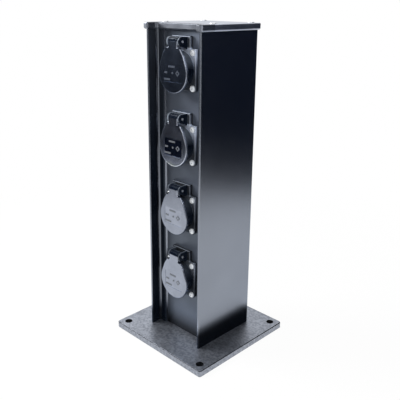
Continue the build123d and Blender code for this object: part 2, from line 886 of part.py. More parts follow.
def make_wires(x):
    lowest = socket_z(socket_count)
    with BuildPart() as wires:
        with BuildLine():
            FilletPolyline(
                (x, wire_y, block_top - wire_insert),
                (x, wire_y, lowest - terminal_hole_half_pitch),
                (x, wire_end_y, lowest - terminal_hole_half_pitch),
                radius=wire_bend_r,
            )
        with BuildSketch(Plane.XY.offset(block_top - wire_insert)):
            with Locations((x, wire_y)):
                Circle(wire_r)
        sweep()
        for number in range(2, socket_count + 1):
            low = socket_z(number) + terminal_hole_half_pitch
            high = socket_z(number - 1) - terminal_hole_half_pitch
            with BuildLine():
                FilletPolyline(
                    (x, wire_end_y, low),
                    (x, wire_y, low),
                    (x, wire_y, high),
                    (x, wire_end_y, high),
                    radius=wire_bend_r,
                )
            with BuildSketch(Plane.XZ.offset(-wire_end_y)):
                with Locations((x, low)):
                    Circle(wire_r)
            sweep()
    return wires


for name, x in zip(("live_wires", "earth_wires", "neutral_wires"), pole_places):
    save(make_wires(x), name)
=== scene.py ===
# %% [markdown]
# # A garden socket post
#
# This lesson dresses a finished CAD model of a black aluminium socket post in Blender. The CAD
# solids arrive as a fixed frame: every screw, lid and wire is already where it belongs. What is
# left for us are the finishes, the paint of the small marks on the lids, the studio and the
# camera.

# %% Load the frame
import math

import bmesh
import bpy
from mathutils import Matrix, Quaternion, Vector


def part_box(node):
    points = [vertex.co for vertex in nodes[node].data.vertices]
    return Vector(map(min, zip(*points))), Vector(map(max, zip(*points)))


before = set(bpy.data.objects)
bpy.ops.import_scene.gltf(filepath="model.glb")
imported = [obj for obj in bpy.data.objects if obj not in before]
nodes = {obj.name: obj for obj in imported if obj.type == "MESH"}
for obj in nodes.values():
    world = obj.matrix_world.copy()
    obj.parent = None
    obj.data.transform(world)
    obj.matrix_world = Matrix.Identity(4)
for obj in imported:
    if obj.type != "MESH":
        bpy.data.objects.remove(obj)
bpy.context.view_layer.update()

# %% [markdown]
# ## Starting a material
#
# Every finish here is a node graph around one Principled shader. A few small helpers keep the
# graphs short. These first ones start a material, add a node and fill in its sockets, and link
# two sockets. They work on whatever owns a node tree: a material and, later on, the world.

# %% Start a material
METAL = 1.0
NO_METAL = 0.0
COOL_GLOSS = (0.66, 0.80, 1.0, 1.0)


def start_material(name, color, metallic, roughness):
    """A material with a Principled shader whose constant values sit on its own sockets."""
    material = bpy.data.materials.new(name)
    material.use_nodes = True
    shader = material.node_tree.nodes["Principled BSDF"]
    shader.inputs["Base Color"].default_value = (*color, 1.0)
    shader.inputs["Metallic"].default_value = metallic
    shader.inputs["Roughness"].default_value = roughness
    return material, shader


def tint_gloss(shader):
    """Cools the gloss of a black finish, which a neutral white room would turn brown."""
    shader.inputs["Specular Tint"].default_value = COOL_GLOSS


def add_node(material, kind, **sockets):
    """One node; each keyword names an input, with underscores for spaces."""
    node = material.node_tree.nodes.new(kind)
    for label, value in sockets.items():
        node.inputs[label.replace("_", " ")].default_value = value
    return node


def link(material, source, target):
    material.node_tree.links.new(source, target)


print("gloss of the black finishes:", COOL_GLOSS[:3])

# %% [markdown]
# ## Clouds and grain
#
# A real skin is never of one value all over. A scanned image could bring its flaws, but it needs
# unwrapped faces. A noise needs nothing: it is read from object coordinates, in metres, so a
# grain of a millimetre takes a scale near 1000 and a cloud of a hand's width one near 10. The
# same cloud can drive the colour and the roughness, and the grain only bends the normal.

# %% Clouds and grain
BUMP_STEP = 0.0002
NOISE_SPAN = (0.3, 0.7)
SHADE_STOPS = (0.35, 0.65)


def middle(pair):
    """The middle of a range."""
    return sum(pair) / 2


def add_noise(material, scale, detail=2.0):
    """Noise in object coordinates."""
    place = add_node(material, "ShaderNodeTexCoord")
    noise = add_node(material, "ShaderNodeTexNoise", Scale=scale, Detail=detail)
    link(material, place.outputs["Object"], noise.inputs["Vector"])
    return noise.outputs["Fac"]


def add_span(material, value, span, shares):
    """Maps a span of values onto a span of shares."""
    spread = add_node(material, "ShaderNodeMapRange", From_Min=span[0], From_Max=span[1])
    spread.inputs["To Min"].default_value, spread.inputs["To Max"].default_value = shares
    link(material, value, spread.inputs["Value"])
    return spread.outputs["Result"]


def add_shades(material, noise, dark, light):
    """Blends two colours by a noise."""
    ramp = add_node(material, "ShaderNodeValToRGB")
    stops = ramp.color_ramp.elements
    for index, color in enumerate((dark, light)):
        stops[index].position = SHADE_STOPS[index]
        stops[index].color = (*color, 1.0)
    link(material, noise, ramp.inputs["Fac"])
    return ramp.outputs["Color"]


def add_rough(material, shader, noise, rough):
    """Lets the roughness wander within a range."""
    link(material, add_span(material, noise, NOISE_SPAN, rough), shader.inputs["Roughness"])


def add_bump(material, shader, height, strength):
    """Feeds a height into the shader's normal."""
    bump = add_node(material, "ShaderNodeBump", Strength=strength, Distance=BUMP_STEP)
    link(material, height, bump.inputs["Height"])
    link(material, bump.outputs["Normal"], shader.inputs["Normal"])


def add_grain(material, shader, scale, strength):
    """A fine grain of one size."""
    add_bump(material, shader, add_noise(material, scale), strength)


print("a bump is", BUMP_STEP * 1000, "mm high")

# %% [markdown]
# ## Zones
#
# Many pieces are darker, paler, duller or painted in one place only, and most of these places are
# painted light and shade. We could give single faces another material, but such zones don't end
# where a face ends. So we work out zones with math nodes from the coordinates of a point: 1 within
# the zone and 0 outside it. A share is what a colour is multiplied by in a zone, and a share of 1
# leaves it as it is.

# %% Zones
WHOLE = (0.0, 1.0)


def add_math(material, operation, *operands):
    """One math node; each operand is a number or the output of another node."""
    node = add_node(material, "ShaderNodeMath")
    node.operation = operation
    for socket, operand in zip(node.inputs, operands):
        if isinstance(operand, float):
            socket.default_value = operand
        else:
            link(material, operand, socket)
    return node.outputs["Value"]


def add_product(material, first, *others):
    """Zones or shares multiplied by each other."""
    product = first
    for other in others:
        product = add_math(material, "MULTIPLY", product, other)
    return product


def add_rest(material, zone):
    """1 outside a zone and 0 within it."""
    return add_math(material, "SUBTRACT", 1.0, zone)


def add_choice(material, zone, outside, within):
    """One number outside a zone and another within it."""
    return add_span(material, zone, WHOLE, (outside, within))


def add_band(material, value, low, high):
    """1 where the value lies between low and high, 0 elsewhere."""
    return add_math(material, "COMPARE", value, (low + high) / 2, (high - low) / 2)


def add_axis(material, axis):
    """A point's X, Y or Z in object coordinates, in metres."""
    place = add_node(material, "ShaderNodeTexCoord")
    split = add_node(material, "ShaderNodeSeparateXYZ")
    link(material, place.outputs["Object"], split.inputs["Vector"])
    return split.outputs[axis]


print("a zone runs from", WHOLE[0], "to", WHOLE[1])

# %% [markdown]
# There are two ways to use a zone on a colour: scale the colour by a share, or blend it into a
# plain one. The finished material then takes the one slot of each of its CAD nodes, so that
# nothing of the bare CAD shows through.

# %% Colours and slots
# A Mix node has a set of sockets for each type; these are its colour ones
MIX_SHARE, MIX_COLOR, MIX_OTHER, MIX_RESULT = 0, 6, 7, 2


def add_scaled(material, color, share):
    """Darkens or brightens a colour by a share."""
    scaled = add_node(material, "ShaderNodeVectorMath")
    scaled.operation = "SCALE"
    link(material, color, scaled.inputs["Vector"])
    link(material, share, scaled.inputs["Scale"])
    return scaled.outputs["Vector"]


def add_blend(material, share, color, other):
    """Blends a colour that comes from a node into a plain one, by a share from 0 to 1."""
    blend = add_node(material, "ShaderNodeMix")
    blend.data_type = "RGBA"
    link(material, share, blend.inputs[MIX_SHARE])
    link(material, color, blend.inputs[MIX_COLOR])
    blend.inputs[MIX_OTHER].default_value = (*other, 1.0)
    return blend.outputs[MIX_RESULT]


def dress(material, *names):
    """Gives a material to CAD nodes."""
    for name in names:
        slots = nodes[name].data.materials
        slots.clear()
        slots.append(material)
    print(material.name, "on", len(names), "nodes")


print("CAD nodes to dress:", len(nodes))

# %% [markdown]
# ## The black column
#
# The real column is an extrusion with a satin black skin that still works like dull metal: it
# is nearly black where it mirrors a dark room and mid grey where it mirrors a pale floor. A
# plain black paint would stay black everywhere. So the shader is metallic with a dark, cool
# tint, and broad clouds keep the long faces from looking computed.
#
# Two parts of the extrusion are darker, both painted shade. The left wall of the recess and its
# lip are painted near black, a painted shade that lifts a touch near the cap, and the round corner
# between them is darkened a little. And the last few centimetres above the plate are painted deep
# black on all sides, a painted shade and reflection of the dark plate.

# %% Zones of the column
SKIN = 0.0002
# Reach and margins of the painted shade on the recess's left wall, lip and round corner
LIP_REACH = 0.0105
LIP_AHEAD = 0.003
LIP_SHADE_MARGIN = 0.0015
CORNER_REACH = 0.0035
WALL_MARGIN = 0.0004
EDGE_ROUND = 0.0006

panel_low, panel_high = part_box("socket_panel")
plate_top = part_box("base_plate")[1][2]
recess_half = panel_high[0] + SKIN
recess_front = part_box("column_shell")[0][1]
lip_front = panel_low[1] - LIP_AHEAD


def add_recess(material, reach, front, back):
    """1 on the left of the recess, up to a reach from its wall and between two depths."""
    left = add_math(material, "MULTIPLY", add_axis(material, "X"), -1.0)
    beside = add_band(material, left, recess_half - reach, recess_half + WALL_MARGIN)
    return add_product(material, beside, add_band(material, add_axis(material, "Y"), front, back))


def add_climb(material, rise, least):
    """A share that climbs from least to 1 between two heights above the plate."""
    climb = add_node(material, "ShaderNodeMapRange",
                     From_Min=plate_top + rise[0], From_Max=plate_top + rise[1])
    climb.interpolation_type = "SMOOTHSTEP"
    climb.inputs["To Min"].default_value = least
    link(material, add_axis(material, "Z"), climb.inputs["Value"])
    return climb.outputs["Result"]


print("recess", round(2000 * recess_half, 1), "mm wide")

# %% Column
COLUMN_DARK = (0.262, 0.283, 0.326)
COLUMN_LIGHT = (0.286, 0.309, 0.356)
COLUMN_ROUGH = (0.24, 0.27)
COLUMN_CLOUD = 14.0
COLUMN_GRAIN = (1500.0, 0.03)
# Painted shade: the black foot, the darker round corner and the near-black left wall and lip
FOOT_LEAST = 0.12
FOOT_RISE = (0.016, 0.035)
CORNER_SHADE = 0.60
RECESS_SHADE_COLOR = (0.0030, 0.0050, 0.0100)
RECESS_SHADE_HEIGHTS = (0.24, 0.40)
RECESS_SHADE_COVER = (1.0, 0.93)


def make_column_finish():
    material, shader = start_material(
        "column_satin_black", COLUMN_LIGHT, METAL, middle(COLUMN_ROUGH))
    tint_gloss(shader)
    cloud = add_noise(material, COLUMN_CLOUD)
    # Painted shade on the recess: a darker round corner, a near-black left wall and lip
    corner = add_recess(material, CORNER_REACH, lip_front - CORNER_REACH, lip_front - SKIN)
    recess = add_recess(material, LIP_REACH, recess_front + EDGE_ROUND, lip_front + LIP_SHADE_MARGIN)
    painted = add_math(material, "SUBTRACT", recess, corner)
    share = add_choice(material, corner, 1.0, CORNER_SHADE)
    # Painted shade and reflection: the colour turns black just above the plate
    share = add_product(material, share, add_climb(material, FOOT_RISE, FOOT_LEAST))
    shades = add_scaled(material, add_shades(material, cloud, COLUMN_DARK, COLUMN_LIGHT), share)
    # The painted shade on the left wall lifts a touch near the cap
    recess_shade = add_span(material, add_axis(material, "Z"), RECESS_SHADE_HEIGHTS, RECESS_SHADE_COVER)
    recess_shade = add_product(material, painted, recess_shade)
    link(material, add_blend(material, recess_shade, shades, RECESS_SHADE_COLOR), shader.inputs["Base Color"])
    link(material, add_rest(material, painted), shader.inputs["Metallic"])
    add_rough(material, shader, cloud, COLUMN_ROUGH)
    add_grain(material, shader, *COLUMN_GRAIN)
    return material


dress(make_column_finish(), "column_shell")

# %% [markdown]
# ## The cap
#
# The cap is cast and sprayed rather than drawn, so its skin is rougher than the column's. Its
# flat top and its right side are painted paler than the rest, a painted light. Its front, with the
# notch above the sockets, is painted darker, a painted shade, darkest on the rounded edge that
# leads up to the top; only the left end of the front is spared. One material finds all these
# places by comparing coordinates with the cap's own box, which stays true if the cap changes its
# size.

# %% Cap
CAP_DARK = (0.300, 0.322, 0.370)
CAP_LIGHT = (0.345, 0.370, 0.425)
CAP_ROUGH = (0.35, 0.41)
CAP_CLOUD = 60.0
CAP_GRAIN = (1200.0, 0.08)
CAP_ROUND = 0.0015
FRONT_DEPTH = 0.022
FRONT_LEFT = -0.042
# Painted shade on the front and its top edge, painted light on the top and the right side
FRONT_SHADE = 0.72
EDGE_SHADE = 0.45
SIDE_LIGHT = 1.70
ROOF_LIGHT = 1.35


def add_cap_share(material):
    """Painted light and shade: how much paler or darker each side of the cap is made."""
    low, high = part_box("top_cap")
    roof_height = high[2] - SKIN / 2
    across = add_axis(material, "X")
    height = add_axis(material, "Z")
    side = add_math(material, "GREATER_THAN", across, high[0] - CAP_ROUND)
    roof = add_math(material, "GREATER_THAN", height, roof_height)
    # Painted light on the right side and the top, painted shade on the front and its edge
    share = add_choice(material, side, 1.0, SIDE_LIGHT)
    share = add_math(material, "MULTIPLY_ADD", roof, ROOF_LIGHT - 1.0, share)
    near = add_math(material, "LESS_THAN", add_axis(material, "Y"), low[1] + FRONT_DEPTH)
    spared = add_math(material, "LESS_THAN", across, FRONT_LEFT)
    front = add_product(material, near, add_rest(material, roof), add_rest(material, spared))
    edge = add_product(material, add_band(material, height, high[2] - CAP_ROUND, roof_height), front)
    share = add_product(material, share, add_choice(material, front, 1.0, FRONT_SHADE))
    return add_product(material, share, add_choice(material, edge, 1.0, EDGE_SHADE))


def make_cap_finish():
    material, shader = start_material("cap_sprayed_black", CAP_LIGHT, METAL, middle(CAP_ROUGH))
    cloud = add_noise(material, CAP_CLOUD)
    shades = add_shades(material, cloud, CAP_DARK, CAP_LIGHT)
    shades = add_scaled(material, shades, add_cap_share(material))
    link(material, shades, shader.inputs["Base Color"])
    add_rough(material, shader, cloud, CAP_ROUGH)
    add_grain(material, shader, *CAP_GRAIN)
    return material


dress(make_cap_finish(), "top_cap")

# %% [markdown]
# ## The base plate
#
# The plate has the same skin over a coarser, sprayed texture. Its grain is a few millimetres,
# large enough to break the column's mirror image on it into specks, and a small part of it is
# dull paint that stays grey where the mirror image is black. The narrow bevel round the top and
# the walls of the holes are darkened in the colour, a painted shade. Two noises of different size
# make the bump, because one alone looks like a regular pattern.

# %% Base plate
PLATE_DARK = (0.225, 0.243, 0.285)
PLATE_LIGHT = (0.385, 0.413, 0.475)
PLATE_METAL = 0.90
PLATE_ROUGH = (0.37, 0.44)
PLATE_FINE = (900.0, 4.0)
PLATE_COARSE = (330.0, 3.0)
PLATE_BUMP = 0.22
BEVEL_DROP = 0.0008
EDGE_MARGIN = 0.004
CUT_SHADE = 0.12

plate_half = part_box("base_plate")[1][0]


def add_furthest(material):
    """How far a point lies from the middle, along X or along Y, whichever is more."""
    return add_math(material, "MAXIMUM", *[
        add_math(material, "ABSOLUTE", add_axis(material, axis)) for axis in "XY"])


def add_cut(material):
    """1 where shade is painted: on the bevel and, away from the outer sides, on every wall below the top.
    """
    height = add_axis(material, "Z")
    below_top = plate_top - SKIN / 4
    bevel = add_band(material, height, plate_top - BEVEL_DROP, below_top)
    within = add_math(material, "LESS_THAN", add_furthest(material), plate_half - EDGE_MARGIN)
    wall = add_product(material, add_band(material, height, SKIN, below_top), within)
    return add_math(material, "MAXIMUM", bevel, wall)


def make_plate_finish():
    material, shader = start_material(
        "plate_textured_black", PLATE_LIGHT, PLATE_METAL, middle(PLATE_ROUGH))
    fine = add_noise(material, *PLATE_FINE)
    coarse = add_noise(material, *PLATE_COARSE)
    # Painted shade on the bevel and in the holes
    share = add_choice(material, add_cut(material), 1.0, CUT_SHADE)
    shades = add_shades(material, coarse, PLATE_DARK, PLATE_LIGHT)
    link(material, add_scaled(material, shades, share), shader.inputs["Base Color"])
    add_rough(material, shader, coarse, PLATE_ROUGH)
    add_bump(material, shader, add_math(material, "ADD", fine, coarse), PLATE_BUMP)
    return material


dress(make_plate_finish(), "base_plate")

# %% [markdown]
# ## The socket panel
#
# The sheet behind the sockets is painted anthracite, not metallic, with a clear sheen. Its colour
# grows paler towards its right edge, the more so the higher up, a painted light. A stronger lamp
# from the right would do this as well, but it would wash out the sockets too, so the colour itself
# changes. Like the column it turns black just above the plate and loses its sheen there, a
# painted shade.

# %% Socket panel
PANEL_DARK = (0.036, 0.041, 0.053)
PANEL_LIGHT = (0.045, 0.051, 0.065)
PANEL_ROUGH = (0.33, 0.40)
PANEL_CLOUD = 30.0
PANEL_GRAIN = (1500.0, 0.05)
# Painted shade at the foot, painted light towards the upper right
PANEL_LEAST = 0.10
PANEL_RISE = (0.002, 0.034)
PANEL_ACROSS = (-0.010, 0.042)
PANEL_HEIGHTS = (0.06, 0.38)
PANEL_LIGHT_GAINS = (0.0, 2.4)


def make_panel_finish():
    material, shader = start_material(
        "panel_anthracite", PANEL_LIGHT, NO_METAL, middle(PANEL_ROUGH))
    tint_gloss(shader)
    cloud = add_noise(material, PANEL_CLOUD)
    # Painted shade: black and without sheen just above the plate
    foot = add_climb(material, PANEL_RISE, PANEL_LEAST)
    # Painted light: paler towards the right edge, the more so the higher up
    gain = add_span(material, add_axis(material, "Z"), PANEL_HEIGHTS, PANEL_LIGHT_GAINS)
    across = add_span(material, add_axis(material, "X"), PANEL_ACROSS, WHOLE)
    share = add_product(material, add_math(material, "MULTIPLY_ADD", gain, across, 1.0), foot)
    shades = add_shades(material, cloud, PANEL_DARK, PANEL_LIGHT)
    link(material, add_scaled(material, shades, share), shader.inputs["Base Color"])
    link(material, foot, shader.inputs["Specular IOR Level"])
    add_rough(material, shader, cloud, PANEL_ROUGH)
    add_grain(material, shader, *PANEL_GRAIN)
    return material


dress(make_panel_finish(), "socket_panel")

# %% [markdown]
# ## Places on a socket
#
# All four sockets are alike, and their finishes change at the same places on each. One material
# for all four is easier to keep alike than four copies. A wrap node makes it possible: it turns a
# point's height on the post into its height above the middle of its own socket.

# %% Places on a socket
FLANGE_THICK = 0.003


def each(name):
    """The four nodes of one socket piece, top one first."""
    return [f"{name}_{number}" for number in (1, 2, 3, 4)]


def middle_height(name):
    """Height of the middle of one CAD node."""
    return middle([corner[2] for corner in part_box(name)])


lowest_socket = middle_height("lid_seal_4")
socket_pitch = (middle_height("lid_seal_1") - lowest_socket) / 3
flange_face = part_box("flange_gasket_4")[0][1] - FLANGE_THICK


def post_height(sockets_up):
    """A height on the post, counted in sockets up from the middle of the lowest one."""
    return lowest_socket + sockets_up * socket_pitch


def add_height(material, centre=lowest_socket):
    """Height above the centre of whichever socket a point belongs to."""
    above = add_math(material, "SUBTRACT", add_axis(material, "Z"), centre)
    return add_math(material, "WRAP", above, socket_pitch / 2, -socket_pitch / 2)


print("sockets", round(1000 * socket_pitch, 1), "mm apart")

# %% [markdown]
# ## Moulded socket bodies
#
# A body is two things in one moulding. Its collar and hinge ears are polished, a deep blue black
# with sharp highlights. The inner edges of the ears, and less the upper half of the collar, are
# painted a paler grey, a painted reflection. From the flange's face backwards all is dull, and its
# colour is lifted by painted highlights: the face most of all beside its upper screws, the tower of
# the hinge above it evenly, its very top less. The upper two sockets carry more of this painted
# light. Beside their upper screws the face also loses its metallic look, so the highlight is matte.

# %% Painted light on the bodies
# Where the upper sockets' painted light starts and where it is full, in sockets up from the lowest one
UPPER_LIGHT_STEPS = (1.3, 2.0)
UPPER_LIGHT_SHARES = (0.25, 0.70)
# Painted highlights on the flange face and the hinge tower
FACE_CLIMB = (-0.010, 0.018)
FACE_SHARES = (1.14, 5.70)
MATTE_HIGHLIGHT_CLIMB = (0.006, 0.016)
TOWER_RISE = 0.0262
TOWER_SHARE = 2.2
TOWER_TOP = 0.0378
TOWER_TOP_SHARE = 0.9
# Painted reflection on the collar's upper half and on the ears' inner edges
COLLAR_CLIMB = (0.002, 0.018)
COLLAR_SHARE = 0.45
EAR_HALF = 0.0084
EAR_EDGE = 0.0014
EAR_RISE = 0.0250


def add_upper_light(material):
    """How much painted light a socket's body takes, more on the upper sockets."""
    heights = [post_height(step) for step in UPPER_LIGHT_STEPS]
    return add_span(material, add_axis(material, "Z"), heights, UPPER_LIGHT_SHARES)


def add_painted_highlight(material, height, tower):
    """Painted highlights: how much paler the dull parts of a body are made."""
    face = add_span(material, height, FACE_CLIMB, FACE_SHARES)
    face = add_product(material, face, add_rest(material, tower))
    top = add_math(material, "GREATER_THAN", height, TOWER_TOP)
    share = add_math(material, "MULTIPLY_ADD", tower, TOWER_SHARE, face)
    return add_math(material, "MULTIPLY_ADD", top, TOWER_TOP_SHARE - TOWER_SHARE, share)


def add_painted_reflection(material, height):
    """Painted reflection on polished parts: most on the ears' inner edges, some on the collar's upper half.
    """
    across = add_math(material, "ABSOLUTE", add_axis(material, "X"))
    edge = add_band(material, across, EAR_HALF - SKIN, EAR_HALF + EAR_EDGE)
    above = add_math(material, "GREATER_THAN", height, EAR_RISE)
    collar = add_span(material, height, COLLAR_CLIMB, (0.0, COLLAR_SHARE))
    collar = add_product(material, collar, add_rest(material, above))
    return add_math(material, "MULTIPLY_ADD", edge, above, collar)


print("worn from", round(1000 * post_height(UPPER_LIGHT_STEPS[0])), "mm up")

# %% Socket bodies
BODY_DARK = (0.150, 0.165, 0.195)
BODY_LIGHT = (0.190, 0.208, 0.245)
BODY_CLOUD = 90.0
BODY_GRAIN = (2200.0, 0.06)
FACE_ROUGH = 0.45
FACE_GLOSS = 0.5
POLISH_COLOR = (0.0030, 0.0055, 0.0120)
POLISH_ROUGH = 0.08
POLISH_GLOSS = 0.30
REFLECTION_GREY = (0.300, 0.340, 0.400)


def make_body_finish():
    material, shader = start_material("socket_black_plastic", BODY_LIGHT, METAL, FACE_ROUGH)
    tint_gloss(shader)
    height = add_height(material)
    upper_light = add_upper_light(material)
    tower = add_math(material, "GREATER_THAN", height, TOWER_RISE)
    polished = add_math(material, "LESS_THAN", add_axis(material, "Y"), flange_face - SKIN)
    dull = add_rest(material, polished)
    shades = add_shades(material, add_noise(material, BODY_CLOUD), BODY_DARK, BODY_LIGHT)
    # Painted highlights on the dull face and tower, stronger on the upper sockets
    share = add_product(material, add_painted_highlight(material, height, tower), upper_light)
    painted = add_blend(material, polished, add_scaled(material, shades, share), POLISH_COLOR)
    # Painted reflection on the ears' inner edges and the collar's upper half
    painted_light = add_product(material, add_painted_reflection(material, height), upper_light, polished)
    link(material, add_blend(material, painted_light, painted, REFLECTION_GREY), shader.inputs["Base Color"])
    # The face beside the upper screws loses its metallic look, so the painted highlight there is matte
    matte_highlight = add_product(material, upper_light, add_span(material, height, MATTE_HIGHLIGHT_CLIMB, WHOLE))
    matte_highlight = add_product(material, matte_highlight, add_rest(material, tower))
    metal = add_product(material, dull, add_rest(material, matte_highlight))
    link(material, metal, shader.inputs["Metallic"])
    gloss = add_choice(material, dull, POLISH_GLOSS, FACE_GLOSS)
    link(material, gloss, shader.inputs["Specular IOR Level"])
    rough = add_choice(material, dull, POLISH_ROUGH, FACE_ROUGH)
    link(material, rough, shader.inputs["Roughness"])
    add_grain(material, shader, *BODY_GRAIN)
    return material


dress(make_body_finish(), *each("socket_body"))

# %% [markdown]
# ## Lids
#
# The lids have a hard, satin skin that mirrors the room: the top ones pick up the dark card, the
# low ones the floor. Their hinge barrel is polished black, and so is the top of the neck at both
# sides of the tongue. In the sunk field on the front lies a clear varnish, so the field mirrors
# sharply and turns black where the lid is dark grey. The marks that stand in the field are dull
# grey paint, and of the diamond only the outline is painted.
#
# Two lids are their own case: the top one has a face darkened by painted shade, no varnish and
# less paint on its marks, and the lower half of the second one's face is brightened by a painted
# reflection.

# %% Zones of the lids
LID_DROP = 0.0029
FIELD_HALF = (0.0154, 0.01065)
FIELD_SUNK = 0.0003
DIAMOND_X = 0.0086
DIAMOND_CORE = 0.0015
BARREL_RISE = 0.0335
NECK_RISE = 0.0250
TONGUE_HALF = 0.0083
TOP_MARKS = 0.45
# The second lid lies between these, in sockets up from the lowest one
SECOND_LID = (1.5, 2.5)
# Painted reflection on the lower half of the second lid's face
SECOND_LIGHT_CLIMB = (-0.026, -0.004)
SECOND_LIGHT_SHARES = (2.8, 1.0)

lid_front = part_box("lid_4")[0][1]


def add_beside(material, middle_x):
    """How far a point lies to the side of a place on a lid."""
    across = add_math(material, "SUBTRACT", add_axis(material, "X"), middle_x)
    return add_math(material, "ABSOLUTE", across)


def add_field(material, height):
    """1 within the outline of the sunk field of a lid."""
    inside_width = add_math(material, "LESS_THAN", add_beside(material, 0.0), FIELD_HALF[0])
    inside_height = add_math(material, "LESS_THAN", height, FIELD_HALF[1])
    return add_product(material, inside_width, inside_height)


def add_diamond_core(material, height):
    """1 within the diamond mark, so that only its outline is painted."""
    around = add_math(material, "ADD", add_beside(material, DIAMOND_X), height)
    return add_math(material, "LESS_THAN", around, DIAMOND_CORE)


def add_marks(material, field, height, top):
    """The paint on the marks, and the varnish on the field's floor and in the diamond."""
    depth = add_axis(material, "Y")
    halfway = lid_front + FIELD_SUNK / 2
    floor = add_band(material, depth, halfway, lid_front + 2 * FIELD_SUNK)
    standing = add_math(material, "LESS_THAN", depth, halfway)
    core = add_diamond_core(material, height)
    left = add_choice(material, top, 1.0, TOP_MARKS)
    marks = add_product(material, field, standing, add_rest(material, core), left)
    varnish = add_math(material, "MAXIMUM", add_product(material, field, floor),
                       add_product(material, core, standing))
    return marks, add_product(material, varnish, add_rest(material, top))


def add_barrel(material):
    """1 on the hinge barrel and on the top of the neck at both sides of the tongue."""
    height = add_height(material)
    beside = add_math(material, "GREATER_THAN", add_beside(material, 0.0), TONGUE_HALF)
    neck = add_product(material, beside, add_math(material, "GREATER_THAN", height, NECK_RISE))
    return add_math(material, "MAXIMUM", neck, add_math(material, "GREATER_THAN", height, BARREL_RISE))


def add_second_lid_light(material, face):
    """Painted reflection: a share that brightens the lower half of the second lid's face."""
    low, high = (post_height(step) for step in SECOND_LID)
    second = add_band(material, add_axis(material, "Z"), low, high)
    glow = add_span(material, add_height(material), SECOND_LIGHT_CLIMB, SECOND_LIGHT_SHARES)
    glow = add_product(material, add_math(material, "SUBTRACT", glow, 1.0), second)
    return add_math(material, "MULTIPLY_ADD", glow, face, 1.0)


print("sunk field", [round(2000 * half, 1) for half in FIELD_HALF], "mm")

# %% Lids
LID_DARK = (0.310, 0.335, 0.395)
LID_LIGHT = (0.350, 0.378, 0.445)
LID_ROUGH = (0.23, 0.27)
LID_CLOUD = 60.0
LID_GRAIN = (2600.0, 0.08)
FACE_DEPTH = 0.00010
FIELD_ROUGH = 0.06
MARK_GREY = (0.105, 0.112, 0.125)
# Painted shade: the darker colour of the top lid's face and field
TOP_SHADE_COLOR = (0.134, 0.162, 0.218)


def make_lid_finish():
    material, shader = start_material("lid_satin_plastic", LID_LIGHT, METAL, middle(LID_ROUGH))
    tint_gloss(shader)
    cloud = add_noise(material, LID_CLOUD)
    face = add_math(material, "LESS_THAN", add_axis(material, "Y"), lid_front + FACE_DEPTH)
    top = add_math(material, "GREATER_THAN", add_axis(material, "Z"), post_height(SECOND_LID[1]))
    height = add_math(material, "ABSOLUTE", add_height(material, lowest_socket - LID_DROP))
    field = add_field(material, height)
    marks, varnish = add_marks(material, field, height, top)
    barrel = add_barrel(material)
    shades = add_shades(material, cloud, LID_DARK, LID_LIGHT)
    # Painted reflection: the second lid's lower half is brighter
    shades = add_scaled(material, shades, add_second_lid_light(material, face))
    flat = add_math(material, "MAXIMUM", face, field)
    # Painted shade: the top lid's face and field take the darker colour
    shades = add_blend(material, add_product(material, top, flat), shades, TOP_SHADE_COLOR)
    painted = add_blend(material, marks, shades, MARK_GREY)
    link(material, add_blend(material, barrel, painted, POLISH_COLOR), shader.inputs["Base Color"])
    metal = add_rest(material, add_math(material, "MAXIMUM", marks, barrel))
    link(material, metal, shader.inputs["Metallic"])
    gloss = add_choice(material, barrel, FACE_GLOSS, POLISH_GLOSS)
    link(material, gloss, shader.inputs["Specular IOR Level"])
    sharp = add_math(material, "MAXIMUM", varnish, barrel)
    smooth = add_choice(material, sharp, 1.0, FIELD_ROUGH / middle(LID_ROUGH))
    rough = add_product(material, add_span(material, cloud, NOISE_SPAN, LID_ROUGH), smooth)
    link(material, rough, shader.inputs["Roughness"])
    add_grain(material, shader, *LID_GRAIN)
    return material


dress(make_lid_finish(), *each("lid"))

# %% [markdown]
# ## Steel, brass, rubber and the parts inside
#
# The screws of the flanges are the brightest spots on the post. They are zinc plated, and their
# colour is set nearly white with a little metal in it, a painted highlight that stands in for the
# glints on them. The other screws, the nuts, pins and springs are bright steel. Brass, rubber,
# insulation and the terminal block are hidden in normal use, but each still gets its own colour and
# grain for the day a lid is opened. All of these finishes are made alike, so a table holds what
# differs.

# %% Small parts
# For each finish: dark and light shade, metallic, roughness, and the grain's scale and strength
SMALL_FINISHES = {
    # Painted highlight: the zinc screws are near white
    "zinc_screws": ((0.90, 0.94, 0.98), (0.96, 0.98, 1.00), 0.15, (0.26, 0.34), 2000.0, 0.05),
    "bright_steel": ((0.88, 0.89, 0.91), (0.95, 0.96, 0.98), 0.85, (0.24, 0.32), 2000.0, 0.05),
    "machined_brass": ((0.66, 0.50, 0.24), (0.78, 0.62, 0.33), METAL, (0.22, 0.32), 1800.0, 0.05),
    "black_rubber": ((0.014, 0.014, 0.015), (0.026, 0.026, 0.027), NO_METAL, (0.62, 0.75), 1600.0, 0.12),
    "carrier_plastic": ((0.022, 0.022, 0.024), (0.034, 0.034, 0.036), NO_METAL, (0.42, 0.52), 1500.0, 0.08),
    "block_ivory": ((0.66, 0.62, 0.52), (0.76, 0.72, 0.62), NO_METAL, (0.38, 0.48), 1500.0, 0.06),
    "wire_brown": ((0.10, 0.040, 0.016), (0.15, 0.065, 0.028), NO_METAL, (0.38, 0.48), 1500.0, 0.05),
    "wire_blue": ((0.012, 0.060, 0.32), (0.022, 0.090, 0.42), NO_METAL, (0.38, 0.48), 1500.0, 0.05),
}
